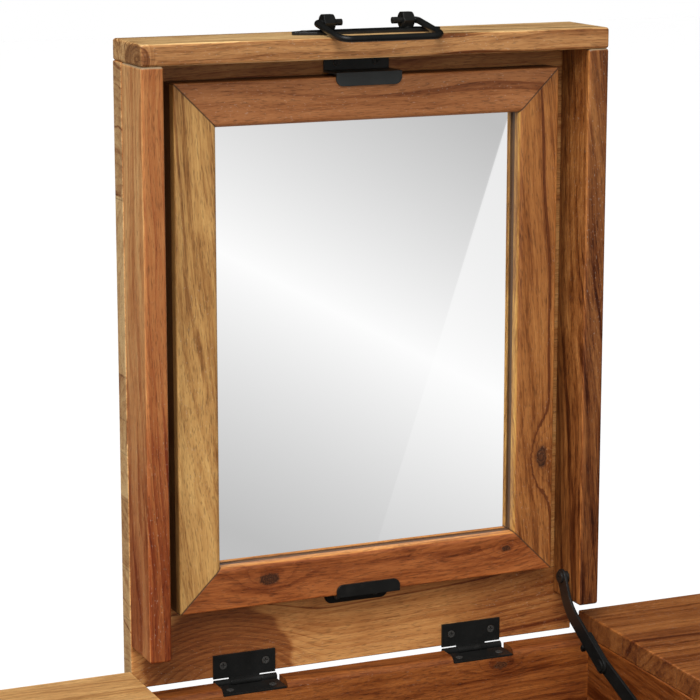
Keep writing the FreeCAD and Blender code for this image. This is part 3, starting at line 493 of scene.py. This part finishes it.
def mirror_glass():
    """Silvered glass, with the faintest wiping marks."""
    s = Shader("mirror_glass")
    place = s.node("TexCoord").outputs["Object"]
    wiped = s.noise(place, (4.0, 4.0, 11.0), 3.0, 0.6)
    tone = s.plus_part(0.955, wiped, 0.012)
    return s.finish({"Metallic": 1.0}, Base_Color=s.join(tone, tone, tone),
                    Roughness=s.plus_part(0.012, wiped, 0.01))


def hardboard():
    """Brown fibre board behind the glass."""
    s = Shader("backing_board")
    place = s.node("TexCoord").outputs["Object"]
    fleck = s.noise(place, 700.0, 4.0, 0.7)
    colour = s.ramp(fleck, [(0.25, (0.16, 0.09, 0.045)), (0.75, (0.34, 0.22, 0.12))])
    return s.finish({"Specular IOR Level": 0.3}, Base_Color=colour, Roughness=s.plus_part(0.75, fleck, 0.2),
                    Normal=s.bump(fleck, 0.3, 0.0003))


# ---------------------------------------------------------------- what each node is made of

def paint(node, material):
    """Give a CAD node one material in place of its own."""
    mesh = frame["nodes"][node].data
    mesh.materials.clear()
    mesh.materials.append(material)


def wood(node, grain, tones, seed, **looks):
    paint(node, Acacia(node, grain, tones, seed, Looks(**looks)).surface())


def paint_lid_panel():
    """Staves glued one above the other, the lowest with a patch of dark heartwood."""
    seams = (0.797, 0.836, 0.889, 0.925, 0.951, 0.984, 1.116)
    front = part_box("lid_panel")[0].y
    wood("lid_panel", "X", HEARTED, 11, middle=0.69, seams=seams, pith=(-0.09, 0.02), tilt=(2.0, 3.0),
         bands=0.3, patches=0.3, figure=0.3, fibres=0.45, stave_jitter=0.2,
         heart=((-0.118, front, 0.752), (0.062, 0.016, 0.050)),
         drifts=(("X", 0.040, 0.140, -0.24),), drifts_end=seams[0],
         faces=(("X", -1, (1.05, 1.45, 2.1)),))


def paint_lid_rails():
    low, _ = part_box("lid_front_rail")
    end_heart = ((low.x, low.y + 0.012, low.z + 0.004), (0.008, 0.024, 0.012))
    # Painted light and shade: the top face is made paler, as if lit from above, and the front face darker.
    wood("lid_front_rail", "X", HONEY, 23, middle=0.60, pith=(0.05, -0.055), tilt=(0.6, 1.6),
         streaks=0.5, rings=0.20, heart=end_heart,
         faces=(("Y", -1, (0.64, 0.50, 0.41)), ("Z", 1, (1.10, 1.20, 1.25))))
    # Painted light: the outer face, turned to the light from the left, is made paler.
    wood("lid_side_rail_left", "Z", RUSSET, 31, middle=0.33, bands=0.22, patches=0.35, fibres=0.45,
         pith=(0.25, -0.16), tilt=(0.6, 0.6), streaks=0.1, drifts=(("Z", 0.82, 1.10, 0.34),),
         filled_end=True, faces=(("X", -1, (1.33, 1.68, 2.1)),))
    # Painted shade and light: the front face is made darker, and the inner face, turned to the light from
    # the left, paler.
    wood("lid_side_rail_right", "Z", UMBER, 47, bands=0.3, fibres=0.9, pith=(0.03, -0.045),
         tilt=(3.0, 5.0), streaks=0.15, filled_end=True,
         faces=(("Y", -1, (0.80, 0.74, 0.64)), ("X", -1, (1.44, 1.50, 1.48))))


def paint_mirror_frame():
    """Four mitred sticks, whose glue lines run in from the frame's corners."""
    low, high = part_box("mirror_frame_bottom")
    top_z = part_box("mirror_frame_top")[1].z
    bottom_left, bottom_right = (low.x, low.z, -1), (high.x, low.z, 1)
    top_left, top_right = (low.x, top_z, 1), (high.x, top_z, -1)
    # Each stick gets painted shade on its rebate wall beside the glass.
    wood("mirror_frame_left", "Z", GOLD, 53, pith=(0.10, -0.10), tilt=(1.5, 5.0), streaks=0.35,
         mitres=(bottom_left, top_left), glazed=True)
    # Painted light: the inner wall beside the glass, turned to the light from the left, is made paler.
    wood("mirror_frame_right", "Z", AMBER, 61, pith=(-0.06, -0.08), tilt=(1.0, 5.0), bands=0.35,
         streaks=0.35, knots=(((0.1465, low.y, 0.896), 0.006),), mitres=(bottom_right, top_right),
         drifts=(("Z", 0.95, 0.83, -0.10),), faces=(("X", -1, (1.6, 2.3, 2.5)),), glazed=True)
    wood("mirror_frame_top", "X", TAN, 71, pith=(-0.10, -0.10), tilt=(0.8, 1.5), bands=0.4,
         mitres=(top_left, top_right), glazed=True)
    # Painted light: the upward face of the rebate wall, lit from above, is made paler.
    wood("mirror_frame_bottom", "X", CHERRY, 83, pith=(-0.09, -0.06), tilt=(1.5, 2.0),
         knots=(((-0.0846, low.y, 0.824), 0.0055), ((0.1165, low.y, 0.825), 0.0028)),
         mitres=(bottom_left, bottom_right), faces=(("Z", 1, (1.7, 2.4, 2.6)),), glazed=True)


def paint_tops():
    left_seams = (-0.208, -0.150, -0.098, -0.040, 0.010, 0.062, 0.118, 0.182)
    right_seams = (-0.205, -0.160, -0.112, -0.065, -0.012, 0.034, 0.084, 0.141, 0.167)
    wood("fixed_top_left", "X", STRAW, 101, seams=left_seams, seam_axis="Y", pith=(0.02, -0.09),
         tilt=(1.0, 1.0))
    wood("fixed_top_right", "X", WALNUT, 102, seams=right_seams, seam_axis="Y", pith=(0.02, -0.07),
         tilt=(1.0, 1.0), bands=0.65, stave_jitter=0.36)


def paint_compartment():
    knot_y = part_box("compartment_rear_rail")[0].y
    wood("compartment_rear_rail", "X", MAROON, 113, middle=0.55, bands=0.35, pith=(-0.05, -0.09),
         tilt=(1.0, 2.0), streaks=0.15, knots=(((0.1123, knot_y, 0.7294), 0.004),))
    wood("compartment_wall_right", "Y", MAROON, 117, middle=0.42, pith=(0.10, 0.08))


def paint_other_boards():
    """Boards without marks of their own, in tones drawn at random; their grain runs lengthwise."""
    grains = {"compartment_wall_left": "Y", "compartment_floor": "X",
              "compartment_front": "X", "side_apron_left": "Y", "side_apron_right": "Y",
              "back_apron_left": "X", "back_apron_right": "X", "drawer_rail_left": "X",
              "drawer_rail_right": "X", "drawer_runners": "Y"}
    drawer_grains = {"front": "X", "back": "X", "side_inner": "Y", "side_outer": "Y", "base": "X"}
    for side in ("left", "right"):
        for depth in ("front", "back"):
            grains["leg_%s_%s" % (depth, side)] = "Z"
        for part, grain in drawer_grains.items():
            grains["drawer_%s_%s" % (side, part)] = grain
    rng = random.Random(7)
    choices = (HONEY, RUSSET, GOLD, TAN, AMBER, CHERRY, UMBER, WALNUT)
    first_seed = 200
    for seed, (node, grain) in enumerate(grains.items(), first_seed):
        pith = (rng.uniform(0.03, 0.07), rng.uniform(0.04, 0.09))
        wood(node, grain, rng.choice(choices), seed, pith=pith,
             tilt=(rng.uniform(-2, 2), rng.uniform(-2, 2)), streaks=rng.uniform(0.05, 0.3))


def paint_hardware():
    black = powder_coat("black_powder_coat")
    # Screw heads: paler than the black coat, for wear and as a painted highlight on their slots.
    wear_and_painted_highlight = powder_coat("screw_heads_worn_and_highlit", (0.042, 0.040, 0.037), 0.28)
    # The top clip: black coat painted a lighter bluish grey, a painted sheen of reflected light.
    clip_coat_painted_sheen = powder_coat("clip_powder_coat_painted_sheen", (0.029, 0.033, 0.033), 0.45)
    for entry in frame["record"]["subparts"]:
        if entry["material_slot"] == "black_iron":
            paint(entry["node"], wear_and_painted_highlight if entry["node"].endswith("screws") else black)
    paint("mirror_clip_top", clip_coat_painted_sheen)
    paint("mirror_glass", mirror_glass())
    paint("mirror_backing", hardboard())


# ---------------------------------------------------------------- studio

def mesh_object(name, corners, faces, material):
    mesh = bpy.data.meshes.new(name)
    mesh.from_pydata(corners, [], faces)
    mesh.materials.append(material)
    item = bpy.data.objects.new(name, mesh)
    bpy.context.scene.collection.objects.link(item)
    return item


def plane(name, corners, material):
    return mesh_object(name, corners, [tuple(range(len(corners)))], material)


def room(name, half, material):
    """A closed box round the whole scene, half being half its width."""
    corners = [(x, y, z) for x in (-half, half) for y in (-half, half) for z in (-half, half)]
    faces = [(0, 1, 3, 2), (4, 6, 7, 5), (0, 4, 5, 1), (2, 3, 7, 6), (0, 2, 6, 4), (1, 5, 7, 3)]
    return mesh_object(name, corners, faces, material)


def hide_from(item, *rays):
    for ray in rays:
        setattr(item, "visible_" + ray, False)


def glow(s, strength):
    """Finish a node tree as plain white light that is seen but lights nothing."""
    emission = s.node("Emission", {"Color": (1.0, 1.0, 1.0, 1.0), "Strength": strength})
    s.node("OutputMaterial", {0: emission.outputs[0]})
    s.material.cycles.emission_sampling = "NONE"
    return s.material


def seen_only_by(item, name, nodes):
    """Show a glowing surface in the reflections of some nodes, and nowhere else."""
    receivers = bpy.data.collections.new(name)
    for node in nodes:
        receivers.objects.link(frame["nodes"][node])
    item.light_linking.receiver_collection = receivers
    hide_from(item, "camera", "diffuse", "shadow", "transmission", "volume_scatter")


def floor():
    """A pale floor, which takes shadows but throws no light back."""
    s = Shader("pale_floor")
    far = 60.0
    material = s.finish({"Base Color": (0.86, 0.86, 0.86, 1.0), "Roughness": 0.6, "Specular IOR Level": 0.2})
    ground = plane("floor", [(-far, -far, 0), (far, -far, 0), (far, far, 0), (-far, far, 0)], material)
    hide_from(ground, "diffuse", "glossy")


def card_tone(s, x, z, low, high):
    """Brightness of the studio card, drawn at the glass's own size, between the corners low and high."""
    wide, tall = high.x - low.x, high.z - low.z
    # A bright crest runs down to the right; the light falls off evenly on both sides of it.
    crest_left, crest_right = low.z + 0.73 * tall, low.z + 0.31 * tall
    lean = (crest_left - crest_right) / wide
    off = s.add(s.minus(z, crest_left), s.times(s.minus(x, low.x), lean))
    brightest, darkest, fall_per_metre = 0.99, 0.74, 1.2
    tone = s.minus(brightest, s.times(s.calc("ABSOLUTE", off), fall_per_metre))
    tone = s.calc("MAXIMUM", tone, darkest)
    # The glare on the right has a straight edge, and fades downwards.
    edge_low, edge_top = low.x + 0.53 * wide, low.x + 0.975 * wide
    slope = (edge_top - edge_low) / tall
    edge = s.calc("MULTIPLY_ADD", s.minus(z, low.z), slope, edge_low)
    beside = s.span(s.minus(x, edge), -0.0004, 0.0004)
    glare = s.times(beside, s.span(z, low.z - 0.05, high.z, 0.05, 0.66))
    return s.add(tone, s.times(glare, s.minus(1.0, tone)))


def studio_card(camera_at):
    """A white card for the mirror alone: the soft bands of light that lie across it.

    The card is drawn at the mirror's own size and place, then enlarged about the camera's image
    behind the mirror, so that from the camera it covers the glass just as drawn."""
    low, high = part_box("mirror_glass")
    s = Shader("studio_card")
    x, _, z = s.split(s.node("TexCoord").outputs["Object"])
    gamma, power = 2.2, 1.05
    light = s.times(s.calc("POWER", card_tone(s, x, z, low, high), gamma), power)
    half_wide, bottom, top = 1.6, -0.2, 2.6
    corners = [(-half_wide, low.y, bottom), (half_wide, low.y, bottom),
               (half_wide, low.y, top), (-half_wide, low.y, top)]
    card = plane("studio_card", corners, glow(s, light))
    image = Vector((camera_at.x, 2 * low.y - camera_at.y, camera_at.z))
    enlarged = 1.7
    card.scale = (enlarged, enlarged, enlarged)
    card.location = image * (1 - enlarged)
    return card


def studio_tent():
    """A pale tent all round, which only the mirror sees, past the card's edges."""
    s = Shader("studio_tent")
    height = s.split(s.node("TexCoord").outputs["Object"])[2]
    return room("studio_tent", 12.0, glow(s, s.span(height, -3.0, 9.0, 0.55, 0.95)))


def studio_walls():
    """White walls past the floor, which light nothing and show in no reflection."""
    walls = room("studio_walls", 14.0, glow(Shader("studio_walls"), 1.0))
    hide_from(walls, "diffuse", "glossy", "shadow", "transmission", "volume_scatter")


def keep_out_of_the_mirror():
    """Hide all but the lid's own pieces from reflections, so that the mirror shows only those."""
    for item in frame["nodes"].values():
        if item["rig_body"] not in ("lid", "lid_bail"):
            hide_from(item, "glossy")


def world():
    """Even white light from all round, which shows in no reflection."""
    sky = bpy.data.worlds.new("studio")
    bpy.context.scene.world = sky
    sky.use_nodes = True
    background = sky.node_tree.nodes["Background"]
    background.inputs["Color"].default_value = (1.0, 1.0, 1.0, 1.0)
    background.inputs["Strength"].default_value = 0.55
    sky.cycles_visibility.glossy = False


def soft_sun(name, place, power, spread):
    """Soft light that comes from one side of the room, from place towards the origin."""
    sun = bpy.data.lights.new(name, "SUN")
    sun.energy = power
    sun.angle = math.radians(spread)
    item = bpy.data.objects.new(name, sun)
    bpy.context.scene.collection.objects.link(item)
    item.location = place
    item.rotation_euler = (-item.location).to_track_quat("-Z", "Y").to_euler()


def lights():
    soft_sun("key", (-1.26, -1.65, 2.16), 3.15, 40)
    soft_sun("fill", (-0.55, -2.0, 0.30), 0.75, 50)


def camera():
    """A long lens, to the left of the lid and above it, that looks a little down."""
    data = bpy.data.cameras.new("camera")
    data.lens = 133.0
    data.sensor_width = 36.0
    item = bpy.data.objects.new("camera", data)
    bpy.context.scene.collection.objects.link(item)
    item.location = (-0.784, -1.526, 1.394)
    yaw, pitch = math.radians(23.65), math.radians(11.78)
    item.rotation_euler = (math.pi / 2 - pitch, 0.0, -yaw)
    bpy.context.scene.camera = item
    return item


paint_lid_panel()
paint_lid_rails()
paint_mirror_frame()
paint_tops()
paint_compartment()
paint_other_boards()
paint_hardware()
floor()
studio_walls()
world()
lights()
seen_only_by(studio_card(camera().location), "mirror_only", ["mirror_glass"])
seen_only_by(studio_tent(), "mirror_only_tent", ["mirror_glass"])
keep_out_of_the_mirror()
bpy.context.scene.view_settings.view_transform = "Standard"
